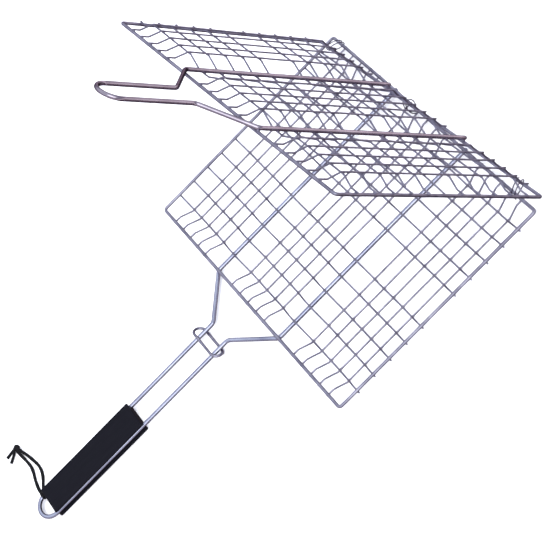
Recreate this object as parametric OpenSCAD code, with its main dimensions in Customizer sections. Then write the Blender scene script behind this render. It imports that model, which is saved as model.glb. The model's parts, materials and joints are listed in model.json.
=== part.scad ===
// Folding wire grill basket with a hinged lid, a sliding lock ring and a long handle.
// Millimetres, +Z up. The origin is the centre of the grip's underside, and +Y runs from
// the grip to the hinge. The lid is drawn open, and skewed a little in its loose coils.

/* [Trays] */
// Width of a tray, between the centres of its two side rim wires
tray_w = 312; // [300:1:330]
// Depth of a tray, from the centre of the front rim wire to that of the hinge rim wire
tray_d = 232; // [220:1:245]
// Depth of the trough, from the rim wire's centre to the long wires' centres
trough_depth = 8.7; // [8.2:0.1:8.7]
// Bend radius of the rim's corners, at the wire's centre
corner_r = 3; // [2.5:0.5:9]

/* [Wires] */
// Diameter of the rim wires
rim_wire = 3; // [2.8:0.1:3]
// Diameter of the cross wires and the long wires
mesh_wire = 1.6; // [1.4:0.1:1.8]
// Diameter of the two bent rods that carry the trays
rod_wire = 4; // [3.6:0.1:4]
// Diameter of the hinge coils' wire
coil_wire = 1; // [0.8:0.1:1.1]
// Diameter of the lock ring's wire
ring_wire = 2.5; // [2:0.1:2.8]

/* [Grid] */
// Distance from a side rim wire to the first long wire
side_margin = 19.6; // [18:0.1:21]
// Spacing of the long wires inside one panel
long_step = 14.3; // [14:0.1:14.5]
// Distance from the front or hinge rim wire to the nearest cross wire
end_margin = 20.6; // [20:0.1:22]

/* [Handle] */
// Spacing of the two shafts that run to the grip
shaft_gap = 26.4; // [25:0.1:28]
// Distance over which the rods bend in from the tray to the shafts
neck_len = 36; // [34:0.5:40]
// Distance from the front rim to the grip
grip_start = 144.3; // [140:0.1:160]
// Length of the grip
grip_len = 113; // [100:1:130]
// Width of the grip
grip_w = 32; // [32:0.5:36]
// Thickness of the grip
grip_t = 12; // [12:0.1:13]

/* [Lid] */
// Angle that the lid stands open, from parallel with the tray below
lid_angle = 59; // [50:1:80]
// Skew of the open lid in its loose coils
lid_skew = 4.2; // [3.5:0.1:4.2]
// Height of the lid's hinge rim wire above the lower tray's
lid_rise = 7.4; // [7.4:0.1:7.6]
// Spacing of the two sides of the lid's handle
lid_shaft_gap = 27.6; // [26:0.1:29]
// Distance over which the lid's rods bend in to its handle
lid_neck_len = 35; // [33:0.5:38]
// Distance from the lid's front rim to the centre of its handle's end bend
lid_handle_len = 103; // [90:1:110]

/* [Lock ring] */
// Outer length of the lock ring, across the shafts
ring_len = 44; // [44:0.5:50]
// Distance from the front rim to the middle of the lock ring
ring_start = 50.8; // [50:0.1:56]

/* [Hidden] */
$fn = 48;
weld_gap = 0.02;          // the welded wires stop this short of each other
joint_lap = 0.1;          // how far a wire's straight stretches run into its bends
bend_swell = 0.02;        // how much thicker a wire is in its bends

// Heights in a tray's own frame, where the rim wire's centre is at 0 and the trough is below
rod_z = -(rim_wire + rod_wire) / 2 - weld_gap;
tray_move = [0, tray_d / 2 + grip_start + grip_len / 2, grip_t / 2 - rod_z];
wire_end_z = -(rim_wire + mesh_wire) / 2 - weld_gap;
long_z = -trough_depth;
cross_z = long_z + mesh_wire + weld_gap;
over_rod_z = rod_z + (rod_wire + mesh_wire) / 2 + weld_gap;

// Where the wires stand, from the tray's middle
panel_w = 4 * long_step;
rod_margin = (tray_w - 2 * side_margin - 3 * panel_w) / 4;
rod_x = tray_w / 2 - side_margin - panel_w - rod_margin;
panel_starts = [-tray_w / 2 + side_margin, -panel_w / 2, tray_w / 2 - side_margin - panel_w];
panels = ["left", "middle", "right"];
cross_step = (tray_d - 2 * end_margin) / 10;
cross_steps = [0, 1, 2, 3, 4, 6, 7, 8, 9, 10];   // the middle wire is left out
cross_wires = [for (i = [0 : 9]) -tray_d / 2 + end_margin + cross_step * cross_steps[i]];
nub = 0.5;                // how far the mesh wires stand out past the rim wire's outer side
nub_reach = rim_wire / 2 + nub;
flat_end = 6.5;           // level stretch of a mesh wire inside the rim
mesh_bend_r = 3;
over_rod_flat = 3;        // half the level stretch of a cross wire over a rod

// Rods
rod_tip = 3;              // how far the rods run on past the hinge rim's middle
rod_bend_r = 7;
grip_y = -tray_d / 2 - grip_start - grip_len / 2;
loop_y = grip_y - grip_len / 2;
groove_fit = 0.02;
grip_round = 1.8;

// Lock ring, tilted so that it passes over the shafts at the back and under them in front
ring_clear = 0.3;
ring_rise = rod_wire + ring_wire + 2 * ring_clear;
ring_run = 9.3;
ring_tilt = atan2(ring_rise, ring_run);
ring_side = norm([ring_run, ring_rise]);
ring_straight = ring_len - ring_side - ring_wire;
ring_x = shaft_gap / 2 - ring_straight / 2;

// Hinge coils, which hold the two hinge rim wires together: an oval helix of thin wire
coil_long = 17.4;         // inside length of the oval
side_coil_wide = 7.2;     // inside width of the two side coils
middle_coil_wide = 8.6;
coil_turns = 1.5;
coil_pitch = 4.2;
coil_steps = 24;          // rings of the tube in one turn
coil_sides = 10;
coil_first = 0;           // where the wire starts on its oval, in degrees
coil_left_x = -tray_w / 2 + 13.7;
coil_middle_x = panel_starts[1] + long_step / 2;
coil_right_x = tray_w / 2 - side_margin - long_step / 2;
coil_lean = atan2(lid_rise, abs(coil_left_x) * tan(lid_skew));

// Lanyard: a flat lace looped round the left shaft just behind the grip, and knotted.
// Its points are in the finished frame, from the shaft's inner side to the end of each tail.
lace_w = 3;
lace_t = 1.6;
lace_sides = 8;
lace_loop_r = 3;
lace_loop = [-13, -59, grip_t / 2];
lace_loop_steps = [0, 30, 60, 90, 120];
knot_d = 8;
knot_middle = [-81, -57, knot_d / 2];
front_route = [
    [-16.4, -59.3, 6.2],
    [-18.4, -60.2, 3.6],
    [-21.5, -61.2, 1.5],
    [-27, -61.4, 0.9],
    [-37, -59.6, 0.9],
    [-46, -57, 0.9],
    [-54, -55.8, 0.9],
    [-63, -56.5, 0.9],
    [-71, -57.6, 1.4],
    [-77.5, -58, 3.2],
    [-81.5, -58.4, 3.4],
    [-83.2, -61.5, 2],
    [-83.4, -66, 1],
    [-82.6, -71, 0.9]
];
rear_route = [
    [-17.8, -58.8, 1.9],
    [-22.3, -57.9, 0.9],
    [-27, -55.6, 0.9],
    [-33, -52.2, 0.9],
    [-40, -49.6, 0.9],
    [-48, -49, 0.9],
    [-57, -50.4, 0.9],
    [-66, -52.4, 0.9],
    [-73, -54.4, 1.6],
    [-78, -55.8, 4],
    [-81.3, -57, 5],
    [-81.6, -60, 3.6],
    [-79, -63.6, 1.6],
    [-74.4, -70.6, 0.9]
];

cross_nodes = [for (i = [1 : 10]) str("lower_cross_wire_", i)];
lid_cross_nodes = [for (i = [1 : 10]) str("lid_cross_wire_", i)];
long_nodes = [for (panel = panels) str("lower_long_wires_", panel)];
lid_long_nodes = [for (panel = panels) str("lid_long_wires_", panel)];

// A point's turn: the change of direction there, between -180 and 180
function heading(from, to) = atan2(to[1] - from[1], to[0] - from[0]);
function wrap(angle) = angle > 180 ? angle - 360 : angle < -180 ? angle + 360 : angle;
function turn_at(before, at, after) = wrap(heading(at, after) - heading(before, at));
function setback(before, at, after, bend_r) = bend_r * tan(abs(turn_at(before, at, after)) / 2);

// One straight stretch of wire in the XY plane, from one point to another, cut back at each end
module straight_wire(from, to, start_cut, end_cut, wire) {
    way = heading(from, to);
    start = start_cut > 0 ? start_cut - joint_lap : 0;
    end = end_cut > 0 ? end_cut - joint_lap : 0;
    translate([from[0], from[1], 0])
        rotate([0, 0, way])
            translate([start, 0, 0])
                rotate([0, 90, 0])
                    cylinder(h = norm(to - from) - start - end, d = wire);
}

// The bend at one point of a path, on a radius to the wire's middle
module wire_bend(before, at, after, wire, bend_r) {
    turn = turn_at(before, at, after);
    way_in = heading(before, at);
    way_out = heading(at, after);
    side = turn > 0 ? 1 : -1;
    cut = setback(before, at, after, bend_r);
    centre = at - cut * [cos(way_in), sin(way_in)] + side * bend_r * [-sin(way_in), cos(way_in)];
    first = turn > 0 ? way_in - 90 : way_out + 90;
    translate([centre[0], centre[1], 0])
        rotate([0, 0, first])
            rotate_extrude(angle = abs(turn))
                translate([bend_r, 0])
                    circle(d = wire + bend_swell);
}

// A wire bent along points in the XY plane
module bent_wire(points, wire, bend_r) {
    last = len(points) - 1;
    for (i = [0 : last - 1]) {
        start_cut = i == 0 ? 0 : setback(points[i - 1], points[i], points[i + 1], bend_r);
        end_cut = i == last - 1 ? 0 : setback(points[i], points[i + 1], points[i + 2], bend_r);
        straight_wire(points[i], points[i + 1], start_cut, end_cut, wire);
    }
    for (i = [1 : last - 1])
        wire_bend(points[i - 1], points[i], points[i + 1], wire, bend_r);
}

// A closed rectangle of wire with rounded corners, welded into one piece
module rim() {
    x = tray_w / 2;
    y = tray_d / 2;
    corners = [[-x, -y], [x, -y], [x, y], [-x, y]];
    for (i = [0 : 3]) {
        before = corners[(i + 3) % 4];
        at = corners[i];
        after = corners[(i + 1) % 4];
        straight_wire(at, after, corner_r, corner_r, rim_wire);
        wire_bend(before, at, after, rim_wire, corner_r);
    }
}

// Half of a cross wire's outline, from the side rim to the middle, as [x, z] points
function half_cross() = [
    [-tray_w / 2 - nub_reach, wire_end_z],
    [-tray_w / 2 + flat_end, wire_end_z],
    [-tray_w / 2 + side_margin - 1, cross_z],
    [-tray_w / 2 + side_margin + panel_w + 1, cross_z],
    [-rod_x - over_rod_flat - 4, over_rod_z],
    [-rod_x + over_rod_flat + 4, over_rod_z],
    [-panel_w / 2 - 1, cross_z]
];
function mirrored(points) = [for (i = [len(points) - 1 : -1 : 0]) [-points[i][0], points[i][1]]];

// A cross wire: down from the side rim into each trough, and over the two rods between them
module cross_wire(number) {
    translate([0, cross_wires[number - 1], 0])
        rotate([90, 0, 0])
            bent_wire(concat(half_cross(), mirrored(half_cross())), mesh_wire, mesh_bend_r);
}

// The long wires of one panel: flat under the end rims, and down to the bottom of the trough
half_long = [
    [-tray_d / 2 - nub_reach, wire_end_z],
    [-tray_d / 2 + flat_end, wire_end_z],
    [-tray_d / 2 + end_margin - 2.5, long_z]
];
module long_wires(panel) {
    for (i = [0 : 4])
        translate([panel_starts[panel] + i * long_step, 0, 0])
            rotate([90, 0, 90])
                bent_wire(concat(half_long, mirrored(half_long)), mesh_wire, mesh_bend_r);
}

// A rod bent into a handle: along the tray on both sides, in to the shafts, and round the end.
// gap is the spacing of the shafts, neck the length of the bend in, and loop where they end.
module bent_rod(gap, neck, loop) {
    first_y = tray_d / 2 + rod_tip - rod_wire / 2;
    for (side = [-1, 1]) {
        points = [
            [side * rod_x, first_y],
            [side * rod_x, -tray_d / 2],
            [side * gap / 2, -tray_d / 2 - neck],
            [side * gap / 2, loop - joint_lap]
        ];
        bent_wire(points, rod_wire, rod_bend_r);
        translate([side * rod_x, first_y, 0])
            sphere(d = rod_wire + bend_swell);
    }
    translate([0, loop, 0])
        rotate([0, 0, 180])
            rotate_extrude(angle = 180)
                translate([gap / 2, 0])
                    circle(d = rod_wire + bend_swell);
}

// The lid is a tray turned over, tilted open about the hinge and skewed in its coils
module on_lid() {
    translate(tray_move + [0, tray_d / 2, lid_rise])
        rotate([0, 0, lid_skew])
            rotate([-lid_angle, 0, 0])
                translate([0, -tray_d / 2, 0])
                    mirror([0, 0, 1])
                        children();
}

module rounded_rectangle(w, h, r) {
    square([w - 2 * r, h], center = true);
    square([w, h - 2 * r], center = true);
    for (x = [-1, 1])
        for (y = [-1, 1])
            translate([x * (w / 2 - r), y * (h / 2 - r)])
                circle(r = r);
}

// Vectors for the swept tubes
function unit(v) = v / norm(v);
function sideways(way) = norm([way[0], way[1]]) < 0.2 ? [0, -1, 0] : unit([-way[1], way[0], 0]);

// The faces of a tube of rings that have the same number of points, closed at both ends
function tube_faces(rings, sides) = concat(
    [[for (k = [0 : sides - 1]) k]],
    [for (j = [0 : rings - 2]) for (k = [0 : sides - 1])
        [j * sides + k, (j + 1) * sides + k, (j + 1) * sides + (k + 1) % sides]],
    [for (j = [0 : rings - 2]) for (k = [0 : sides - 1])
        [j * sides + k, (j + 1) * sides + (k + 1) % sides, j * sides + (k + 1) % sides]],
    [[for (k = [sides - 1 : -1 : 0]) (rings - 1) * sides + k]]
);

// An oval helix of round wire about the X axis, with its long way along Y; wide is its inside width
module coil(wide) {
    rings = coil_turns * coil_steps + 1;
    width = coil_turns * coil_pitch;
    half_long = (coil_long + coil_wire) / 2;
    half_wide = (wide + coil_wire) / 2;
    points = [
        for (j = [0 : rings - 1])
            let (turn = coil_first + 360 * j / coil_steps,
                 x = coil_pitch * j / coil_steps - width / 2,
                 middle = [x, half_long * cos(turn), half_wide * sin(turn)],
                 way = unit([coil_pitch / (2 * PI), -half_long * sin(turn), half_wide * cos(turn)]),
                 out = unit([0, half_wide * cos(turn), half_long * sin(turn)]),
                 across = cross(way, out))
                for (k = [0 : coil_sides - 1])
                    let (a = 360 * k / coil_sides)
                        middle + coil_wire / 2 * (cos(a) * out + sin(a) * across)
    ];
    polyhedron(points, tube_faces(rings, coil_sides), convexity = 8);
}

// One strand of the lace: round its side of the shaft, and then along a route on the table.
// over is 1 for the strand that goes over the shaft, and -1 for the one that goes under it.
module strand(over, route) {
    loop = [
        for (a = lace_loop_steps)
            lace_loop + lace_loop_r * [cos(a), 0, over * sin(a)]
    ];
    path = concat(loop, route);
    last = len(path) - 1;
    points = [
        for (i = [0 : last])
            let (way = i == 0 ? [0, 0, over] : unit(path[min(i + 1, last)] - path[i - 1]),
                 across = sideways(way),
                 up = cross(way, across))
                for (k = [0 : lace_sides - 1])
                    let (a = 360 * k / lace_sides)
                        path[i] + lace_w / 2 * cos(a) * across + lace_t / 2 * sin(a) * up
    ];
    polyhedron(points, tube_faces(last + 1, lace_sides), convexity = 6);
}

module lower_rim() {
    color("silver")
        translate(tray_move)
            rim();
}

module lower_cross_wire(number) {
    color("silver")
        translate(tray_move)
            cross_wire(number);
}

module lower_long_wires(panel) {
    color("silver")
        translate(tray_move)
            long_wires(panel);
}

module handle_rod() {
    color("gainsboro")
        translate(tray_move + [0, 0, rod_z])
            bent_rod(shaft_gap, neck_len, loop_y);
}

// A solid block with a groove along each side, where the shafts are pressed in
module grip() {
    groove = rod_wire + 2 * groove_fit;
    color([0.09, 0.09, 0.12])
        translate(tray_move + [0, grip_y + grip_len / 2, rod_z])
            rotate([90, 0, 0])
                linear_extrude(grip_len)
                    difference() {
                        rounded_rectangle(grip_w, grip_t, grip_round);
                        for (side = [-1, 1])
                            translate([side * shaft_gap / 2, 0]) {
                                circle(d = groove);
                                translate([side * grip_w / 2, 0])
                                    square([grip_w, groove], center = true);
                            }
                    }
}

// An oblong ring round both shafts, leaning back with one side over them and one under
module lock_ring() {
    bend = ring_side / 2;
    color("silver")
        translate(tray_move + [ring_x, -tray_d / 2 - ring_start, rod_z])
            rotate([-ring_tilt, 0, 0]) {
                for (side = [-1, 1]) {
                    translate([-ring_straight / 2 - joint_lap, side * bend, 0])
                        rotate([0, 90, 0])
                            cylinder(h = ring_straight + 2 * joint_lap, d = ring_wire);
                    translate([side * ring_straight / 2, 0, 0])
                        rotate([0, 0, -90 * side])
                            rotate_extrude(angle = 180)
                                translate([bend, 0])
                                    circle(d = ring_wire + bend_swell);
                }
            }
}

// A side coil's middle is halfway between the two rim wires that it holds together, and it leans
// from one to the other
module side_coil(x, lean) {
    color("dimgray")
        translate(tray_move + [x, tray_d / 2 + x * tan(lid_skew) / 2, lid_rise / 2])
            rotate([lean, 0, 0])
                coil(side_coil_wide);
}

module hinge_coil_left() {
    side_coil(coil_left_x, -coil_lean);
}

module hinge_coil_right() {
    side_coil(coil_right_x, coil_lean);
}

module hinge_coil_middle() {
    color("dimgray")
        translate(tray_move + [0, tray_d / 2, lid_rise / 2])
            rotate([0, 0, lid_skew])
                translate([coil_middle_x, 0, 0])
                    rotate([90, 0, 0])
                        coil(middle_coil_wide);
}

module lid_rim() {
    color("silver")
        on_lid()
            rim();
}

module lid_cross_wire(number) {
    color("silver")
        on_lid()
            cross_wire(number);
}

module lid_long_wires(panel) {
    color("silver")
        on_lid()
            long_wires(panel);
}

module lid_handle_rod() {
    color("gainsboro")
        on_lid()
            translate([0, 0, rod_z])
                bent_rod(lid_shaft_gap, lid_neck_len, -tray_d / 2 - lid_handle_len);
}

module lanyard_front_strand() {
    color([0.05, 0.05, 0.06])
        strand(1, front_route);
}

module lanyard_rear_strand() {
    color([0.05, 0.05, 0.06])
        strand(-1, rear_route);
}

module lanyard_knot() {
    color([0.05, 0.05, 0.06])
        translate(knot_middle)
            sphere(d = knot_d);
}

lower_rim();
for (i = [0 : 9]) lower_cross_wire(i + 1);
for (i = [0 : 2]) lower_long_wires(i);
handle_rod();
grip();
lock_ring();
hinge_coil_left();
hinge_coil_middle();
hinge_coil_right();
lid_rim();
for (i = [0 : 9]) lid_cross_wire(i + 1);
for (i = [0 : 2]) lid_long_wires(i);
lid_handle_rod();
lanyard_front_strand();
lanyard_rear_strand();
lanyard_knot();
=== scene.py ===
import json
import math

import bpy
import numpy as np
from mathutils import Matrix, Quaternion, Vector


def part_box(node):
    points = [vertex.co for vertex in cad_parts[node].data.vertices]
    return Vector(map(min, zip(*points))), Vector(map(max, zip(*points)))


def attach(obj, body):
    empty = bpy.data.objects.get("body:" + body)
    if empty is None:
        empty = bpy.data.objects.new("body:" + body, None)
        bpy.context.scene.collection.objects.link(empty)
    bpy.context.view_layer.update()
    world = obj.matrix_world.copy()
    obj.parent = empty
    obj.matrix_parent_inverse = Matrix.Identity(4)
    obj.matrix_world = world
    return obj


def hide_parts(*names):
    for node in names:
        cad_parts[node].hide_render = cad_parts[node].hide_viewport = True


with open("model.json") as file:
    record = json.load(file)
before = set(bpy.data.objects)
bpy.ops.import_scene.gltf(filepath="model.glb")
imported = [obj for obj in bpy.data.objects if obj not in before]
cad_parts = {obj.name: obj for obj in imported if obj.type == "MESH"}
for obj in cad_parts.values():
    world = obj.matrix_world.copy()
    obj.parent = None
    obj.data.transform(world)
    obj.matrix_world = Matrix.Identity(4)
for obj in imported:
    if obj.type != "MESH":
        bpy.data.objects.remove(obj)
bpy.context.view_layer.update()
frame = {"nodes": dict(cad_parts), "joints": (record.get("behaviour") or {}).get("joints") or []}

mm = 0.001
draws = np.random.default_rng(31)   # every random draw comes from here, in one order
print("frame loaded with", len(frame["nodes"]), "nodes")


# ---- camera ----

cameraAt = {
    "eye": (929.6, 319.0, 1098.9),       # mm, in the basket's own frame
    "target": (45.0, 240.4, 60.0),       # mm
    "roll": 49.27,                       # degrees that the top of the picture leans to the right
    "lens": 103.89,                      # mm, on a sensor 36 mm wide
}


def addCamera(at):
    eye = Vector(at["eye"]) * mm
    look = Vector(at["target"]) * mm - eye
    data = bpy.data.cameras.new("camera")
    data.sensor_width = 36
    data.lens = at["lens"]
    data.clip_end = 20
    camera = bpy.data.objects.new("camera", data)
    bpy.context.scene.collection.objects.link(camera)
    turn = look.to_track_quat("-Z", "Y") @ Quaternion((0, 0, 1), -math.radians(at["roll"]))
    camera.matrix_world = Matrix.Translation(eye) @ turn.to_matrix().to_4x4()
    bpy.context.scene.camera = camera


addCamera(cameraAt)
print("camera placed")


# ---- meshes from numpy grids ----

def unit(vectors):
    # each row divided by its own length
    return vectors / np.linalg.norm(vectors, axis=-1, keepdims=True)


def lengthsAlong(path):
    # running length at each point of a path
    steps = np.linalg.norm(np.diff(path, axis=0), axis=1)
    return np.concatenate([[0], np.cumsum(steps)])


def gridQuads(rings, sides, closed):
    # the quads between neighbouring rings; the last ring meets the first on a closed path
    j = np.arange(rings if closed else rings - 1)[:, None]
    k = np.arange(sides)[None, :]
    after = (j + 1) % rings
    side = (k + 1) % sides
    corners = np.broadcast_arrays(j * sides + k, j * sides + side, after * sides + side, after * sides + k)
    return np.stack(corners, axis=-1).reshape(-1, 4)


def sweep(path, across, outline, closed=False, scale=None, shift=None):
    # outline points (a, b) stand at path + a * across + b * (tangent x across), so faces point outwards
    # when the outline runs anticlockwise; scale is a factor for each ring, and shift a push for each point
    path = np.asarray(path, float)
    if closed:
        tangent = unit(np.roll(path, -1, axis=0) - np.roll(path, 1, axis=0))
    else:
        tangent = unit(np.gradient(path, axis=0))
    across = np.broadcast_to(np.asarray(across, float), path.shape)
    across = unit(across - tangent * np.sum(across * tangent, axis=1, keepdims=True))
    up = np.cross(tangent, across)
    flat = np.broadcast_to(outline, (len(path),) + np.shape(outline)[-2:]).copy()
    if scale is not None:
        flat = flat * np.asarray(scale)[:, None, None]
    if shift is not None:
        flat = flat + shift
    rings = path[:, None, :] + flat[..., :1] * across[:, None, :] + flat[..., 1:] * up[:, None, :]
    count, sides = rings.shape[:2]
    points = rings.reshape(-1, 3)
    run = lengthsAlong(path)
    along = np.broadcast_to(run[:, None, None], (count, sides, 1))
    follow = np.concatenate([flat, along], axis=2).reshape(-1, 3)
    quads = gridQuads(count, sides, closed)
    if closed:
        return {"points": points, "follow": follow, "quads": quads, "triangles": np.zeros((0, 3), int)}
    # a closed path needs no ends; an open one gets a fan round each end's middle
    k = np.arange(sides)
    first, last = len(points), len(points) + 1
    start = np.stack([np.full(sides, first), (k + 1) % sides, k], axis=1)
    tail = (count - 1) * sides
    end = np.stack([np.full(sides, last), tail + k, tail + (k + 1) % sides], axis=1)
    middles = np.stack([rings[0].mean(axis=0), rings[-1].mean(axis=0)])
    points = np.concatenate([points, middles])
    follow = np.concatenate([follow, [[0, 0, 0], [0, 0, run[-1]]]])
    return {"points": points, "follow": follow, "quads": quads, "triangles": np.concatenate([start, end])}


def joined(parts):
    # several shapes in one mesh, with each one's corner numbers moved on
    starts = np.cumsum([0] + [len(part["points"]) for part in parts])[:-1]
    return {
        "points": np.concatenate([part["points"] for part in parts]),
        "follow": np.concatenate([part["follow"] for part in parts]),
        "quads": np.concatenate([part["quads"] + start for part, start in zip(parts, starts)]),
        "triangles": np.concatenate([part["triangles"] + start for part, start in zip(parts, starts)]),
    }


def addPiece(name, shape, material, body, stands=()):
    # shape is in mm in the basket's frame; follow says where a point is across and along its wire
    mesh = bpy.data.meshes.new(name)
    faces = shape["quads"].tolist() + shape["triangles"].tolist()
    mesh.from_pydata((shape["points"] * mm).tolist(), [], faces)
    follow = mesh.attributes.new("follow", "FLOAT_VECTOR", "POINT")
    follow.data.foreach_set("vector", shape["follow"].astype(np.float32).ravel())
    mesh.polygons.foreach_set("use_smooth", np.ones(len(mesh.polygons), bool))
    mesh.materials.append(material)
    mesh.update()
    piece = bpy.data.objects.new(name, mesh)
    bpy.context.scene.collection.objects.link(piece)
    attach(piece, body)
    if stands:
        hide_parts(*stands)
    return piece


def circleOutline(radius, sides):
    # (radius cos t, radius sin t) once round
    t = np.arange(sides) * 2 * np.pi / sides
    return radius * np.stack([np.cos(t), np.sin(t)], axis=1)


# ---- materials ----

def linear(hexColour):
    # sRGB hex to the linear numbers that the shaders take
    parts = [int(hexColour[i:i + 2], 16) / 255 for i in (1, 3, 5)]
    return [c / 12.92 if c <= 0.04045 else ((c + 0.055) / 1.055) ** 2.4 for c in parts] + [1]


def addNode(tree, kind, settings=None, links=None):
    # one node with its settings and inputs; a link's value is (node, name of its output)
    node = tree.nodes.new(kind)
    for name, value in (settings or {}).items():
        setattr(node, name, value)
    for name, value in (links or {}).items():
        if isinstance(value, tuple) and isinstance(value[0], bpy.types.Node):
            tree.links.new(value[0].outputs[value[1]], node.inputs[name])
        else:
            node.inputs[name].default_value = value
    return node


def newMaterial(name):
    material = bpy.data.materials.new(name)
    material.use_nodes = True
    tree = material.node_tree
    shader = tree.nodes["Principled BSDF"]
    return material, tree, shader


def platedSteel(name, look):
    # bright zinc plate on drawn steel wire: a clear metal shine with a lilac cast, long faint draw
    # marks, and cloudy patches where the plate is duller
    material, tree, shader = newMaterial(name)
    shader.inputs["Metallic"].default_value = 1
    shader.inputs["Specular Tint"].default_value = linear(look["edge"])   # painted shade: a dark tint where the metal is seen at a low angle, which darkens the wires' edges
    # follow holds mm across and mm along the wire, so marks run with it round its bends
    follow = addNode(tree, "ShaderNodeAttribute", {"attribute_name": "follow"})
    drawn = addNode(tree, "ShaderNodeMapping", None,
                    {"Vector": (follow, "Vector"), "Scale": (2.2, 2.2, 0.05)})
    marks = addNode(tree, "ShaderNodeTexNoise", None,
                    {"Vector": (drawn, "Vector"), "Scale": 1.6, "Detail": 3, "Roughness": 0.6})
    place = addNode(tree, "ShaderNodeTexCoord")
    clouds = addNode(tree, "ShaderNodeTexNoise", None, {
        "Vector": (place, "Object"), "Scale": 1 / look["cloud"] / mm, "Detail": 4, "Roughness": 0.55})
    tint = addNode(tree, "ShaderNodeValToRGB", None, {"Fac": (clouds, "Fac")})
    tint.color_ramp.elements[0].position = 0.34
    tint.color_ramp.elements[0].color = linear(look["dull"])
    tint.color_ramp.elements[1].position = 0.66
    tint.color_ramp.elements[1].color = linear(look["bright"])
    tree.links.new(tint.outputs["Color"], shader.inputs["Base Color"])
    rough = addNode(tree, "ShaderNodeMapRange", None, {
        "Value": (marks, "Fac"), "From Min": 0.3, "From Max": 0.7,
        "To Min": look["rough"] - 0.05, "To Max": look["rough"] + 0.07})
    tree.links.new(rough.outputs["Result"], shader.inputs["Roughness"])
    bump = addNode(tree, "ShaderNodeBump", None,
                   {"Height": (marks, "Fac"), "Strength": 0.35, "Distance": look["mark"] * mm})
    tree.links.new(bump.outputs["Normal"], shader.inputs["Normal"])
    return material


# edge is a painted shade, a dark tint that the metal takes where it is seen at a low angle, which darkens
# the wires' edges; cloud is the size of the dull patches and mark the depth of a draw mark, both in mm
zincWire = platedSteel("zincPlatedDrawnWire", {
    "bright": "#b6b4c7", "dull": "#8a889a", "edge": "#8a8090", "rough": 0.34, "cloud": 9, "mark": 0.02})
zincRim = platedSteel("zincPlatedRimWire", {
    "bright": "#bab8ca", "dull": "#908ea0", "edge": "#8a8090", "rough": 0.3, "cloud": 16, "mark": 0.02})
chromeRod = platedSteel("chromePlatedRod", {
    "bright": "#ccd1e4", "dull": "#a6a9bf", "edge": "#6a6678", "rough": 0.16, "cloud": 30, "mark": 0.015})
# painted reflection: the lid rods are the same chrome as the lower rods, and their pinker colours and warmer
# edge tint stand for what they mirror
lidRodPaintedReflection = platedSteel("chromePlatedLidRodPaintedReflection", {
    "bright": "#cdc5d1", "dull": "#a89eab", "edge": "#6a5c68", "rough": 0.17, "cloud": 30, "mark": 0.015})
springWire = platedSteel("blackenedSpringWire", {
    "bright": "#8c8796", "dull": "#5d5866", "edge": "#4a4350", "rough": 0.34, "cloud": 5, "mark": 0.03})
ringWire = platedSteel("zincPlatedRingWire", {
    "bright": "#b8b6c6", "dull": "#898797", "edge": "#625a68", "rough": 0.22, "cloud": 14, "mark": 0.02})


def blackLeather(name, look):
    # flat lace cut from dyed cowhide: dull black with a fine pebbled grain, 0.5 mm across
    material, tree, shader = newMaterial(name)
    follow = addNode(tree, "ShaderNodeAttribute", {"attribute_name": "follow"})
    grain = addNode(tree, "ShaderNodeTexVoronoi", None,
                    {"Vector": (follow, "Vector"), "Scale": 1 / look["grain"]})
    worn = addNode(tree, "ShaderNodeTexNoise", None,
                   {"Vector": (follow, "Vector"), "Scale": 1 / look["patch"], "Detail": 3})
    tint = addNode(tree, "ShaderNodeValToRGB", None, {"Fac": (worn, "Fac")})
    tint.color_ramp.elements[0].position = 0.35
    tint.color_ramp.elements[0].color = linear(look["dark"])
    tint.color_ramp.elements[1].position = 0.75
    tint.color_ramp.elements[1].color = linear(look["worn"])
    tree.links.new(tint.outputs["Color"], shader.inputs["Base Color"])
    shader.inputs["Roughness"].default_value = 0.58
    shader.inputs["IOR"].default_value = 1.5
    shader.inputs["Specular IOR Level"].default_value = 0.2
    bump = addNode(tree, "ShaderNodeBump", {"invert": True},
                   {"Height": (grain, "Distance"), "Strength": 0.5, "Distance": look["depth"] * mm})
    tree.links.new(bump.outputs["Normal"], shader.inputs["Normal"])
    return material


def lacqueredWood(name, look):
    # a hardwood block under satin black lacquer: near black, with the grain just showing along Y as
    # fine ridges and as slightly duller streaks
    material, tree, shader = newMaterial(name)
    place = addNode(tree, "ShaderNodeTexCoord")
    grainWay = addNode(tree, "ShaderNodeMapping", None, {
        "Vector": (place, "Object"),
        "Scale": (1 / look["grain"] / mm, 0.04 / look["grain"] / mm, 1 / look["grain"] / mm)})
    grain = addNode(tree, "ShaderNodeTexNoise", None,
                    {"Vector": (grainWay, "Vector"), "Scale": 1, "Detail": 5, "Roughness": 0.6})
    patches = addNode(tree, "ShaderNodeTexNoise", None,
                      {"Vector": (place, "Object"), "Scale": 1 / look["patch"] / mm, "Detail": 2})
    tint = addNode(tree, "ShaderNodeValToRGB", None, {"Fac": (grain, "Fac")})
    tint.color_ramp.elements[0].position = 0.3
    tint.color_ramp.elements[0].color = linear(look["dark"])
    tint.color_ramp.elements[1].position = 0.72
    tint.color_ramp.elements[1].color = linear(look["light"])
    tree.links.new(tint.outputs["Color"], shader.inputs["Base Color"])
    rough = addNode(tree, "ShaderNodeMapRange", None, {
        "Value": (patches, "Fac"), "From Min": 0.3, "From Max": 0.7, "To Min": 0.40, "To Max": 0.52})
    tree.links.new(rough.outputs["Result"], shader.inputs["Roughness"])
    shader.inputs["IOR"].default_value = 1.5
    shader.inputs["Specular IOR Level"].default_value = 0.12
    bump = addNode(tree, "ShaderNodeBump", None,
                   {"Height": (grain, "Fac"), "Strength": 0.4, "Distance": look["ridge"] * mm})
    tree.links.new(bump.outputs["Normal"], shader.inputs["Normal"])
    return material


laceLeather = blackLeather("dyedCowhideLace", {
    "dark": "#060608", "worn": "#121215", "grain": 0.5, "patch": 6, "depth": 0.06})
gripWood = lacqueredWood("satinBlackLacqueredWood", {
    "dark": "#08080f", "light": "#0f0f16", "grain": 0.9, "patch": 12, "ridge": 0.05})
print("materials made")


# ---- lanyard ----

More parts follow.
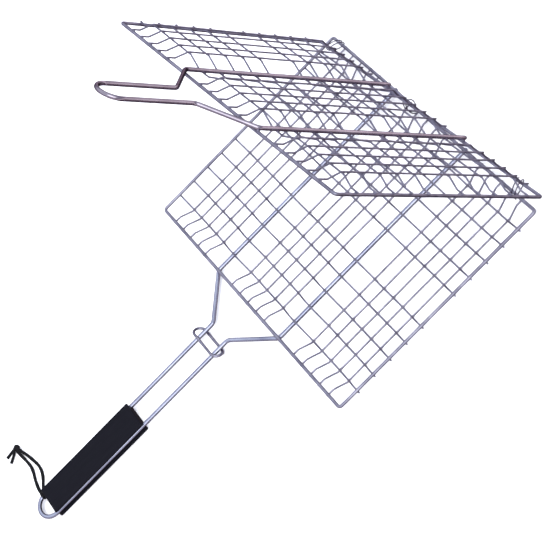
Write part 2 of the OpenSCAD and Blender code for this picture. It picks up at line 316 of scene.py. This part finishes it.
# The lace goes round the left shaft just behind the grip. Each strand starts at the shaft's inner
# side, and its route is the one that its plain solid has, to the end of its tail, in metres.
lace = {
    "width": 0.003,
    "thick": 0.0016,
    "frontLength": 0.0915,
    "rearLength": 0.094,
    "loopMiddle": (-0.013, -0.059, 0.006),
    "loopRadius": 0.003,
    "loopAngles": (0, 30, 60, 90, 120),
    "frontRoute": [
        (-0.0164, -0.0593, 0.0062),
        (-0.0184, -0.0602, 0.0036),
        (-0.0215, -0.0612, 0.0015),
        (-0.0270, -0.0614, 0.0009),
        (-0.0370, -0.0596, 0.0009),
        (-0.0460, -0.0570, 0.0009),
        (-0.0540, -0.0558, 0.0009),
        (-0.0630, -0.0565, 0.0009),
        (-0.0710, -0.0576, 0.0014),
        (-0.0775, -0.0580, 0.0032),
        (-0.0815, -0.0584, 0.0034),
        (-0.0832, -0.0615, 0.0020),
        (-0.0834, -0.0660, 0.0010),
        (-0.0826, -0.0710, 0.0009),
    ],
    "rearRoute": [
        (-0.0178, -0.0588, 0.0019),
        (-0.0223, -0.0579, 0.0009),
        (-0.0270, -0.0556, 0.0009),
        (-0.0330, -0.0522, 0.0009),
        (-0.0400, -0.0496, 0.0009),
        (-0.0480, -0.0490, 0.0009),
        (-0.0570, -0.0504, 0.0009),
        (-0.0660, -0.0524, 0.0009),
        (-0.0730, -0.0544, 0.0016),
        (-0.0780, -0.0558, 0.0040),
        (-0.0813, -0.0570, 0.0050),
        (-0.0816, -0.0600, 0.0036),
        (-0.0790, -0.0636, 0.0016),
        (-0.0744, -0.0706, 0.0009),
    ],
}


# mm, apart from sides
laceShape = {
    "sides": 20,            # points round the strip
    "spacing": 0.7,         # between rings along a strand
    "pressed": 0.94,        # how thick a strand is, as a share of the lace's thickness
    "strandLift": 0.02,     # nothing of a strand is lower than this over the table
    "knotLift": 0.05,
    "knotRings": 132,
    "knotSize": (0.92, 0.86, 1.25),
    "knotDrop": 1.05,       # from the middle of the plain knot down to the middle of the wound one
    "knotStrip": (2.5, 1.45),
}


def strandRoute(over, route):
    # round its own side of the shaft, and then along the table; over is 1 above the shaft, -1 below
    t = np.radians(lace["loopAngles"])
    loop = np.stack([np.cos(t), np.zeros(len(t)), over * np.sin(t)], axis=1) * lace["loopRadius"]
    return np.concatenate([loop + lace["loopMiddle"], np.array(route)]) / mm


def smoothPath(points, spacing):
    # Catmull-Rom: between points 1 and 2 of each four, the cubic that leaves along 0-2 and arrives along 1-3
    padded = np.concatenate([[2 * points[0] - points[1]], points, [2 * points[-1] - points[-2]]])
    t = np.linspace(0, 1, 12, endpoint=False)[None, :, None]
    p0, p1, p2, p3 = (padded[i:len(padded) - 3 + i][:, None, :] for i in range(4))
    curve = 0.5 * (2 * p1 + (p2 - p0) * t + (2 * p0 - 5 * p1 + 4 * p2 - p3) * t ** 2
                   + (3 * p1 - p0 - 3 * p2 + p3) * t ** 3)
    curve = np.concatenate([curve.reshape(-1, 3), points[-1:]])
    run = lengthsAlong(curve)
    stops = np.linspace(0, run[-1], int(round(run[-1] / spacing)) + 1)
    return np.stack([np.interp(stops, run, curve[:, i]) for i in range(3)], axis=1)


def stripOutline(width, thick, sides):
    # a rounded oblong: cos and sin, each raised to 0.45, which fills out a circle's corners
    t = (np.arange(sides) + 0.5) * 2 * np.pi / sides
    square = np.sign([np.cos(t), np.sin(t)]) * np.abs([np.cos(t), np.sin(t)]) ** 0.45
    return (square * [[width / 2], [thick / 2]]).T


def strandPiece(name, over, route, node):
    path = smoothPath(strandRoute(over, route), laceShape["spacing"])
    run = lengthsAlong(path)
    way = unit(np.gradient(path, axis=0))
    # the strip lies flat: its width is level and square to its way, and level with Y round the shaft
    level = np.stack([-way[:, 1], way[:, 0], np.zeros(len(way))], axis=1)
    steep = np.linalg.norm(level, axis=1, keepdims=True) < 0.25
    across = unit(np.where(steep, [0, -1.0, 0], level))
    # its cut edge wanders
    t = run / 6
    wander = 1 + 0.05 * np.sin(t * 1.7 + over) + 0.03 * np.sin(t * 4.1 + 2)
    outline = stripOutline(lace["width"] / mm, lace["thick"] / mm * laceShape["pressed"], laceShape["sides"])
    shape = sweep(path, across, outline, scale=wander)
    shape["points"][:, 2] = np.maximum(shape["points"][:, 2], laceShape["strandLift"])
    piece = addPiece(name, shape, laceLeather, "basket", [node])
    return piece, path * mm, run[-1] * mm


def knotPiece():
    # an overhand knot pulled tight: (sin t + 2 sin 2t, cos t - 2 cos 2t, -sin 3t), carried by a flat strip
    low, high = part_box("lanyard_knot")
    middle = np.array((low + high) / 2) / mm
    t = np.arange(laceShape["knotRings"]) * 2 * np.pi / laceShape["knotRings"]
    wound = np.stack([np.sin(t) + 2 * np.sin(2 * t), np.cos(t) - 2 * np.cos(2 * t), -np.sin(3 * t)], axis=1)
    path = wound * laceShape["knotSize"] + middle + [0, 0, -laceShape["knotDrop"]]
    across = unit(path - middle + [0, 0, 1.6]) * [0.35, 0.35, 1]
    shape = sweep(path, across, stripOutline(*laceShape["knotStrip"], laceShape["sides"]), closed=True)
    shape["points"][:, 2] = np.maximum(shape["points"][:, 2], laceShape["knotLift"])
    return addPiece("lanyardKnot", shape, laceLeather, "basket", ["lanyard_knot"])


knot = knotPiece()
frontStrand, frontPath, frontLength = strandPiece(
    "lanyardFrontStrand", 1, lace["frontRoute"], "lanyard_front_strand")
rearStrand, rearPath, rearLength = strandPiece(
    "lanyardRearStrand", -1, lace["rearRoute"], "lanyard_rear_strand")
print("lanyard laid, strands of", round(frontLength, 4), "and", round(rearLength, 4), "m")


# ---- wire paths ----

def boxMm(node):
    low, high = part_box(node)
    return np.array(low) / mm, np.array(high) / mm


# diameters and bend radii in mm; spacings that the nodes' boxes give are taken from them
wire = {
    "rim": 3.0, "mesh": 1.6, "rod": 4.0, "coil": 1.0, "ring": 2.5,
    "rimBend": 3, "meshBend": 3, "rodBend": 7,
    "nub": 2.0,             # how far mesh wires stand past the rim wire's middle
    "flatEnd": 6.5,         # level stretch of a mesh wire inside the rim
    "overRod": 7,           # half the level stretch of a cross wire over a rod
    "wave": 0.11,           # how far a mesh wire wanders from straight
    "chamfer": 0.3,         # bevel round a cut end
}
wireSides = {"mesh": 12, "rim": 20, "rod": 24, "ring": 18, "coil": 12}    # points round each wire
beads = {                   # radius and height in mm of a weld bead, by what it joins
    "meshOnMesh": (0.86, 0.5),
    "meshOnRim": (1.25, 0.6),
    "meshOnRod": (1.35, 0.65),
    "rodOnRim": (2.0, 0.8),
}
arcStep = 6                 # degrees of arc between rings
# mm: between the middles of a rod's two shafts, along its neck, and from the tray to its end bend
rodSizes = {
    "lower": {"node": "handle_rod", "gap": 26.4, "neck": 36, "loop": 257.3},
    "lid": {"node": "lid_handle_rod", "gap": 27.6, "neck": 35, "loop": 103},
}
rimLow, rimHigh = boxMm("lower_rim")
rodLow, rodHigh = boxMm("handle_rod")
trayMiddle = (rimLow + rimHigh) / 2
trayWidth, trayDepth = (rimHigh - rimLow)[:2] - wire["rim"]
rodZ = (rodLow[2] + rodHigh[2]) / 2 - trayMiddle[2]
rodX = rodHigh[0] - wire["rod"] / 2
rodTip = rodHigh[1] - trayMiddle[1] - trayDepth / 2
panelNames = ("left", "middle", "right")
panelSpans = [(low[0] + wire["mesh"] / 2, high[0] - wire["mesh"] / 2)
              for low, high in (boxMm(f"lower_long_wires_{panel}") for panel in panelNames)]
longZ = boxMm("lower_long_wires_left")[0][2] + wire["mesh"] / 2 - trayMiddle[2]
crossY = [np.mean(boxMm(f"lower_cross_wire_{i}"), axis=0)[1] - trayMiddle[1] for i in range(1, 11)]
endZ = -(wire["rim"] + wire["mesh"]) / 2
crossZ = longZ + wire["mesh"]
overRodZ = rodZ + (wire["rod"] + wire["mesh"]) / 2


def roundedLine(corners, bend, spacing, ends=()):
    # straight lines from corner to corner, with an arc of radius bend inside each inner one, a point
    # every arcStep degrees and every spacing mm, and more points at the distances in ends
    corners = np.asarray(corners, float)
    parts = [corners[:1]]
    for before, at, after in zip(corners[:-2], corners[1:-1], corners[2:]):
        wayIn, wayOut = unit(at - before), unit(after - at)
        turn = math.atan2(wayIn[0] * wayOut[1] - wayIn[1] * wayOut[0], wayIn @ wayOut)
        side = math.copysign(1, turn)
        left = np.array([-wayIn[1], wayIn[0]])
        middle = at - bend * math.tan(abs(turn) / 2) * wayIn + side * bend * left
        t = np.linspace(0, turn, 2 + int(abs(turn) / math.radians(arcStep)))[:, None]
        parts.append(middle + bend * (np.sin(t) * side * wayIn - np.cos(t) * side * left))
    line = np.concatenate(parts + [corners[-1:]])
    run = lengthsAlong(line)
    extra = np.concatenate([np.asarray(ends), run[-1] - np.asarray(ends)])
    stops = np.sort(np.concatenate([run, np.arange(spacing, run[-1], spacing), extra]))
    stops = stops[np.concatenate([[True], np.diff(stops) > 0.04])]
    stops[-1] = run[-1]
    return np.stack([np.interp(stops, run, line[:, i]) for i in (0, 1)], axis=1)


def cutEnds(path, radius):
    # full size along the wire, with a bevel at both ends
    run = lengthsAlong(path)
    near = np.minimum(run, run[-1] - run)
    return 1 - wire["chamfer"] / radius * (1 - np.clip(near / wire["chamfer"], 0, 1))


def domedEnds(path, radius):
    # near an end, a ring's radius is that of a half ball: sqrt(1 - (1 - distance / radius) squared)
    run = lengthsAlong(path)
    near = np.clip(np.minimum(run, run[-1] - run) / radius, 0, 1)
    return np.maximum(np.sqrt(1 - (1 - near) ** 2), 0.04)


def wave(path, size):
    # a slow wander to both sides: two sine waves each way, with lengths of 40 to 110 mm
    run = lengthsAlong(path)[:, None]
    lengths = draws.uniform(40, 110, (1, 2, 2))
    starts = draws.uniform(0, 2 * np.pi, (1, 2, 2))
    return (size * np.sin(2 * np.pi * run[..., None] / lengths + starts).sum(axis=-1))[:, None, :] / 2


swing = next(joint for joint in frame["joints"] if joint["name"] == "lid_swing")
lidHinge = np.array(swing["pos_m"]) / mm
lidSkew = math.atan2(-swing["axis"][1], -swing["axis"][0])
lidLow, lidHigh = boxMm("lid_rim")
lidAngle = math.asin((lidHigh[2] - lidLow[2] - wire["rim"]) / trayDepth)
tilt = np.array([[1, 0, 0], [0, math.cos(lidAngle), math.sin(lidAngle)],
                 [0, -math.sin(lidAngle), math.cos(lidAngle)]])
skew = np.array([[math.cos(lidSkew), -math.sin(lidSkew), 0], [math.sin(lidSkew), math.cos(lidSkew), 0],
                 [0, 0, 1]])


def onLower(points):
    return np.asarray(points, float) + trayMiddle


def onLid(points):
    # a tray turned over, moved so that its hinge rim is at the origin, tilted open and skewed
    turned = (np.asarray(points, float) - [0, trayDepth / 2, 0]) * [1, 1, -1]
    return turned @ (skew @ tilt).T + lidHinge


def wireShape(path, across, place, radius, sides, closed=False, ends=None, wander=0.0):
    # a round wire along a path in a tray's own frame; across is square to the path's plane
    origin = place(np.zeros(3))
    scale = None if ends is None else ends(path, radius)
    shift = wave(path, wander) if wander else None
    return sweep(place(path), place(np.asarray(across, float)) - origin, circleOutline(radius, sides),
                 closed, scale, shift)


def inPlane(line, plane, level):
    # 2D points put in a plane of the tray's frame: xz at a y, yz at an x, or xy at a z
    a, b = line[:, 0], line[:, 1]
    same = np.full(len(line), float(level))
    return np.stack({"xz": (a, same, b), "yz": (same, a, b), "xy": (a, b, same)}[plane], axis=1)


def crossLine():
    # down from the side rim into each trough, and over the two rods between them
    left, middle = panelSpans[0], panelSpans[1]
    half = np.array([
        (-trayWidth / 2 - wire["nub"], endZ),
        (-trayWidth / 2 + wire["flatEnd"], endZ),
        (left[0] - 1, crossZ),
        (left[1] + 1, crossZ),
        (-rodX - wire["overRod"], overRodZ),
        (-rodX + wire["overRod"], overRodZ),
        (middle[0] - 1, crossZ),
    ])
    corners = np.concatenate([half, half[::-1] * [-1, 1]])
    return roundedLine(corners, wire["meshBend"], 5, [wire["chamfer"]])


def longLine():
    # level under the end rims, and down to the bottom of the trough just outside the first cross wire
    half = np.array([
        (-trayDepth / 2 - wire["nub"], endZ),
        (-trayDepth / 2 + wire["flatEnd"], endZ),
        (crossY[0] - 2.5, longZ),
    ])
    corners = np.concatenate([half, half[::-1] * [-1, 1]])
    return roundedLine(corners, wire["meshBend"], 5, [wire["chamfer"]])


def rimLine():
    x, y = trayWidth / 2, trayDepth / 2
    corners = [(0, -y), (x, -y), (x, y), (-x, y), (-x, -y), (0, -y)]
    return roundedLine(corners, wire["rimBend"], 8)[:-1]


def rodLine(sizes):
    # from one rounded tip, along the tray, in at the neck, round the end bend, and back to the other tip
    gap, front = sizes["gap"] / 2, -trayDepth / 2
    loopY = front - sizes["loop"]
    corners = [(-rodX, -front + rodTip), (-rodX, front), (-gap, front - sizes["neck"]), (-gap, loopY)]
    dome = wire["rod"] / 2 * (1 - np.cos(np.radians([18, 36, 54, 72, 90])))
    half = roundedLine(corners, wire["rodBend"], 9, dome)
    half = half[half[:, 1] <= -front + rodTip]
    t = np.radians(np.arange(180 + arcStep, 360, arcStep))
    loop = np.stack([gap * np.cos(t), loopY + gap * np.sin(t)], axis=1)
    return np.concatenate([half, loop, half[::-1] * [-1, 1]])


def weldBeads(spots, place, radius, height):
    # at each spot a small lens: (cos u cos v, sin u cos v, sin v) times its radius and height, where two
    # wires have sunk into each other
    u = np.arange(8) * np.pi / 4
    v = np.radians([-54, -18, 18, 54])[:, None]
    rings = np.stack([np.cos(u) * np.cos(v), np.sin(u) * np.cos(v), np.sin(v) + 0 * u], axis=-1)
    lens = np.concatenate([rings.reshape(-1, 3), [[0, 0, -1], [0, 0, 1]]]) * [radius, radius, height]
    spots = np.asarray(spots, float)
    sizes = draws.uniform(0.86, 1.14, (len(spots), 1, 1))
    points = place((spots[:, None, :] + lens * sizes).reshape(-1, 3))
    starts = (np.arange(len(spots)) * len(lens))[:, None, None]
    quads = gridQuads(4, 8, False)
    k = np.arange(8)
    under = np.stack([np.full(8, 32), (k + 1) % 8, k], axis=1)
    over = np.stack([np.full(8, 33), 24 + k, 24 + (k + 1) % 8], axis=1)
    triangles = np.concatenate([under, over])
    if np.linalg.det(np.stack([place(axis) - place(np.zeros(3)) for axis in np.eye(3)])) < 0:
        quads, triangles = quads[:, ::-1], triangles[:, ::-1]
    follow = np.tile(lens, (len(spots), 1))
    return {"points": points, "follow": follow, "quads": (quads + starts).reshape(-1, 4),
            "triangles": (triangles + starts).reshape(-1, 3)}


# ---- trays ----

def addTray(name, body, place, prefix, rodMaterial):
    lines = {"cross": crossLine(), "long": longLine()}
    meshRadius = wire["mesh"] / 2
    meshSides = wireSides["mesh"]
    longX = [np.linspace(span[0], span[1], 5) for span in panelSpans]
    for number, y in enumerate(crossY, 1):
        path = inPlane(lines["cross"], "xz", y)
        shape = wireShape(path, (0, 1, 0), place, meshRadius, meshSides, False, cutEnds, wire["wave"])
        addPiece(f"{name}CrossWire{number}", shape, zincWire, body,
                 [f"{prefix}_cross_wire_{number}"])
    for panel, places in zip(panelNames, longX):
        shapes = [wireShape(inPlane(lines["long"], "yz", x), (1, 0, 0), place, meshRadius, meshSides,
                            False, cutEnds, wire["wave"]) for x in places]
        addPiece(f"{name}LongWires{panel.title()}", joined(shapes), zincWire, body,
                 [f"{prefix}_long_wires_{panel}"])
    rim = wireShape(inPlane(rimLine(), "xy", 0), (0, 0, 1), place, wire["rim"] / 2, wireSides["rim"], True)
    addPiece(f"{name}Rim", rim, zincRim, body, [f"{prefix}_rim"])
    sizes = rodSizes[name]
    rod = wireShape(inPlane(rodLine(sizes), "xy", rodZ), (0, 0, 1), place, wire["rod"] / 2,
                    wireSides["rod"], False, domedEnds)
    addPiece(f"{name}Rod", rod, rodMaterial, body, [sizes["node"]])
    # welds: mesh wire on mesh wire, mesh wires under the rim, cross wires over the rods, rods under the rim
    between = longZ + meshRadius
    allX = np.concatenate(longX)
    rodTop = rodZ + wire["rod"] / 2
    both = (-1, 1)
    welds = [
        weldBeads([(x, y, between) for y in crossY for x in allX], place, *beads["meshOnMesh"]),
        weldBeads([(side * trayWidth / 2, y, endZ + meshRadius) for y in crossY for side in both],
                  place, *beads["meshOnRim"]),
        weldBeads([(x, side * trayDepth / 2, endZ + meshRadius) for x in allX for side in both],
                  place, *beads["meshOnRim"]),
        weldBeads([(side * rodX, y, rodTop) for y in crossY for side in both],
                  place, *beads["meshOnRod"]),
        weldBeads([(side * rodX, end * trayDepth / 2, rodTop) for side in both for end in both],
                  place, *beads["rodOnRim"]),
    ]
    addPiece(f"{name}Welds", joined(welds), zincWire, body)


addTray("lower", "basket", onLower, "lower", chromeRod)
addTray("lid", "lid", onLid, "lid", lidRodPaintedReflection)
print("trays wired")


# ---- grip ----

gripLook = {
    "corner": 1.8,          # mm, rounding along the block's long edges
    "endRound": 0.8,        # rounding round its two ends
    "groove": 2.03,         # half the height of a side groove
    "lip": 0.35,            # rounding of the grooves' lower lips
    "flare": 1.9,           # how far a groove's mouth is cut back above the shaft
    "rows": 12,             # rings along the block between its rounded ends
    "firstRow": 8,          # how far the first and the last of them are from the ends
}


def gripOutline(width, thick, grooveX):
    # right half from the bottom up: rounded corner, side, lip, groove round the shaft, flared mouth, corner
    w, h, r, g, lip = width / 2, thick / 2, gripLook["corner"], gripLook["groove"], gripLook["lip"]
    t = np.radians(np.arange(0, 91, 15))
    corner = np.stack([w - r + r * np.sin(t), -h + r - r * np.cos(t)], axis=1)
    edge = np.stack([w - lip + lip * np.cos(t), -g - 0.1 - lip + lip * np.sin(t)], axis=1)
    s = np.radians(np.arange(0, 91, 12))
    groove = np.stack([grooveX - g * np.sin(s), -g * np.cos(s)], axis=1)
    mouth = [(w - lip, g + gripLook["flare"]), (w - 0.2 * lip, g + gripLook["flare"] + 0.1)]
    start = np.array([(w * 0.3, -h)])
    half = np.concatenate([start, corner, edge, groove[:-1], groove[::-1] * [1, -1], mouth,
                           corner[::-1] * [1, -1], start * [1, -1]])
    return np.concatenate([half, half[::-1] * [-1, 1]])


def addGrip():
    low, high = boxMm("grip")
    middle = (low + high) / 2
    width, length, thick = high - low
    outline = gripOutline(width, thick, rodSizes["lower"]["gap"] / 2)
    # outward way at each outline point, from its two neighbours
    way = unit(np.roll(outline, -1, axis=0) - np.roll(outline, 1, axis=0))
    outward = np.stack([way[:, 1], -way[:, 0]], axis=1)
    t = np.radians(np.arange(0, 91, 18))
    inset = gripLook["endRound"] * (1 - np.sin(t))
    stand = gripLook["endRound"] * (1 - np.cos(t))
    rows = np.linspace(gripLook["firstRow"], length - gripLook["firstRow"], gripLook["rows"])
    along = np.concatenate([stand, rows, length - stand[::-1]])
    insets = np.concatenate([inset, np.zeros(len(rows)), inset[::-1]])
    path = np.stack([np.full(len(along), middle[0]), low[1] + along, np.full(len(along), middle[2])], axis=1)
    shape = sweep(path, (-1, 0, 0), outline, shift=-outward[None] * insets[:, None, None])
    # the ends are flat rows from each right point to its twin on the left
    sides = len(outline)
    k = np.arange(sides // 2 - 1)
    row = np.stack([k, k + 1, sides - 2 - k, sides - 1 - k], axis=1)
    rings = len(path)
    shape["quads"] = np.concatenate([shape["quads"], row[:, ::-1], row + (rings - 1) * sides])
    shape["points"] = shape["points"][:-2]
    shape["follow"] = shape["follow"][:-2]
    shape["triangles"] = np.zeros((0, 3), int)
    addPiece("grip", shape, gripWood, "basket", ["grip"])


addGrip()
print("grip made")


# ---- lock ring and hinge coils ----

ringWeld = {"from": 2.0, "reach": 1.4, "swell": 0.07}     # mm off the middle, mm, share of the radius


def addLockRing():
    # a closed oblong: two straight sides and two half circles, leaning as its box says
    low, high = boxMm("lock_ring")
    middle = (low + high) / 2
    length, run, rise = high - low - wire["ring"]
    bend = math.hypot(run, rise) / 2
    down = np.array([0, run, -rise]) / (2 * bend)
    x = length / 2 - bend
    t = np.radians(np.arange(0, 181, 7.5))
    right = np.stack([x + bend * np.sin(t), -bend * np.cos(t)], axis=1)
    side = np.stack([np.linspace(x, -x, 9)[1:-1], np.full(7, bend)], axis=1)
    line = np.concatenate([right, side, -right, -side])
    path = middle + line[:, :1] * [1, 0, 0] + line[:, 1:] * down
    # the butt weld is a slight swelling near the middle of one side
    gone = np.linalg.norm(line - [ringWeld["from"], bend], axis=1)
    swell = 1 + ringWeld["swell"] * np.exp(-(gone / ringWeld["reach"]) ** 2)
    outline = circleOutline(wire["ring"] / 2, wireSides["ring"])
    shape = sweep(path, np.cross([1, 0, 0], down), outline, True, swell)
    addPiece("lockRing", shape, ringWire, "lock_ring", ["lock_ring"])


coil = {
    "long": 17.4,           # mm, inside length of its oval
    "sideWide": 7.2,        # inside width of the two side coils
    "middleWide": 8.6,
    "turns": 1.5,
    "pitch": 4.2,
    "rings": 48,            # along each turn
}


def addCoil(name, node, wide, lean, turnZ):
    # an oval helix: pitch * t along its axis, and (a cos t, b sin t) round it, leaned about X
    low, high = boxMm(node)
    t = np.linspace(0, coil["turns"], int(coil["turns"] * coil["rings"]) + 1)
    angle = 2 * np.pi * t
    a, b = (coil["long"] + wire["coil"]) / 2, (wide + wire["coil"]) / 2
    run = coil["pitch"] * (t - coil["turns"] / 2)
    path = np.stack([run, a * np.cos(angle), b * np.sin(angle)], axis=1)
    outward = np.stack([np.zeros(len(t)), b * np.cos(angle), a * np.sin(angle)], axis=1)
    turn = np.array(Matrix.Rotation(turnZ, 3, "Z") @ Matrix.Rotation(lean, 3, "X"))
    path = path @ turn.T + (low + high) / 2
    shape = sweep(path, outward @ turn.T, circleOutline(wire["coil"] / 2, wireSides["coil"]), False,
                  cutEnds(path, wire["coil"] / 2))
    addPiece(name, shape, springWire, node, [node])


addLockRing()
leftCoilX = np.mean(boxMm("hinge_coil_left"), axis=0)[0]
coilLean = math.atan2(lidHinge[2] - trayMiddle[2], abs(leftCoilX) * math.tan(lidSkew))
addCoil("hingeCoilLeft", "hinge_coil_left", coil["sideWide"], -coilLean, 0)
addCoil("hingeCoilMiddle", "hinge_coil_middle", coil["middleWide"], math.pi / 2, lidSkew)
addCoil("hingeCoilRight", "hinge_coil_right", coil["sideWide"], coilLean, 0)
print("lock ring and coils made")


# ---- floor and studio light ----

studio = {
    "floor": "#f4f4f6",
    "floorHalf": 6.0,           # m
    "floorDrop": 0.0004,        # m, from the lowest wire down to the floor
    "aim": (0, 0.25, 0.05),     # m, where every light points
    "roomStrength": 1.25,
    # the room's colours by height: the sine of a direction's angle above level, and its colour
    "room": [
        (-1.0, "#62565f"),      # the lower part is dim, which gives the wires their dark edges
        (-0.5, "#62565f"),
        (-0.24, "#f6eaf0"),
        (-0.02, "#8d8692"),
        (0.25, "#8e8c9c"),
        (0.76, "#dfe3ee"),
        (1.0, "#c4c7d4"),
    ],
}
# place and size in m, power in W; mirrored says whether the wires show the light itself, or are only
# lit by it
softboxes = {
    "keyLight": {"at": (1.4, -0.5, 1.9), "size": (1.2, 0.8), "power": 44, "mirrored": False,
                 "colour": "#ffffff"},
    "fillLight": {"at": (-1.6, 0.9, 1.5), "size": (1.4, 1.0), "power": 20, "mirrored": False,
                  "colour": "#e8eeff"},
    "frontLight": {"at": (1.75, 0.4, 2.05), "size": (1.9, 1.9), "power": 18, "mirrored": True,
                   "colour": "#ffffff"},
    "topLight": {"at": (0.1, 0.3, 2.4), "size": (1.6, 1.6), "power": 40, "mirrored": False,
                 "colour": "#ffffff"},
}


def addFloor():
    mesh = bpy.data.meshes.new("floor")
    half = studio["floorHalf"]
    corners = [(-half, -half), (half, -half), (half, half), (-half, half)]
    mesh.from_pydata([(x, y, -studio["floorDrop"]) for x, y in corners], [], [(0, 1, 2, 3)])
    material, tree, shader = newMaterial("paleFloor")
    shader.inputs["Base Color"].default_value = linear(studio["floor"])
    shader.inputs["Roughness"].default_value = 0.9
    shader.inputs["Specular IOR Level"].default_value = 0.2
    mesh.materials.append(material)
    floor = bpy.data.objects.new("floor", mesh)
    bpy.context.scene.collection.objects.link(floor)
    floor.visible_glossy = False     # the wires mirror the room's lower part in place of the white sweep


def addSoftbox(name, box):
    data = bpy.data.lights.new(name, "AREA")
    data.shape = "RECTANGLE"
    data.size, data.size_y = box["size"]
    data.energy = box["power"]
    data.color = linear(box["colour"])[:3]
    light = bpy.data.objects.new(name, data)
    light.location = box["at"]
    light.visible_glossy = box["mirrored"]
    look = Vector(studio["aim"]) - Vector(box["at"])
    light.rotation_euler = look.to_track_quat("-Z", "Y").to_euler()
    bpy.context.scene.collection.objects.link(light)


def addRoom():
    # a plain room round the sweep: its colour goes by the height of a direction only
    world = bpy.data.worlds.new("studio")
    world.use_nodes = True
    tree = world.node_tree
    way = addNode(tree, "ShaderNodeTexCoord")
    parts = addNode(tree, "ShaderNodeSeparateXYZ", None, {"Vector": (way, "Generated")})
    height = addNode(tree, "ShaderNodeMapRange", None, {"Value": (parts, "Z"), "From Min": -1})
    tint = addNode(tree, "ShaderNodeValToRGB", None, {"Fac": (height, "Result")})
    ramp = tint.color_ramp.elements
    for sine, colour in studio["room"][1:-1]:
        ramp.new((sine + 1) / 2).color = linear(colour)
    ramp[0].color = linear(studio["room"][0][1])
    ramp[-1].color = linear(studio["room"][-1][1])
    background = tree.nodes["Background"]
    tree.links.new(tint.outputs["Color"], background.inputs["Color"])
    background.inputs["Strength"].default_value = studio["roomStrength"]
    bpy.context.scene.world = world


addFloor()
addRoom()
for name, box in softboxes.items():
    addSoftbox(name, box)
bpy.context.scene.view_settings.view_transform = "Standard"
print("studio lit")

bpy.context.view_layer.update()
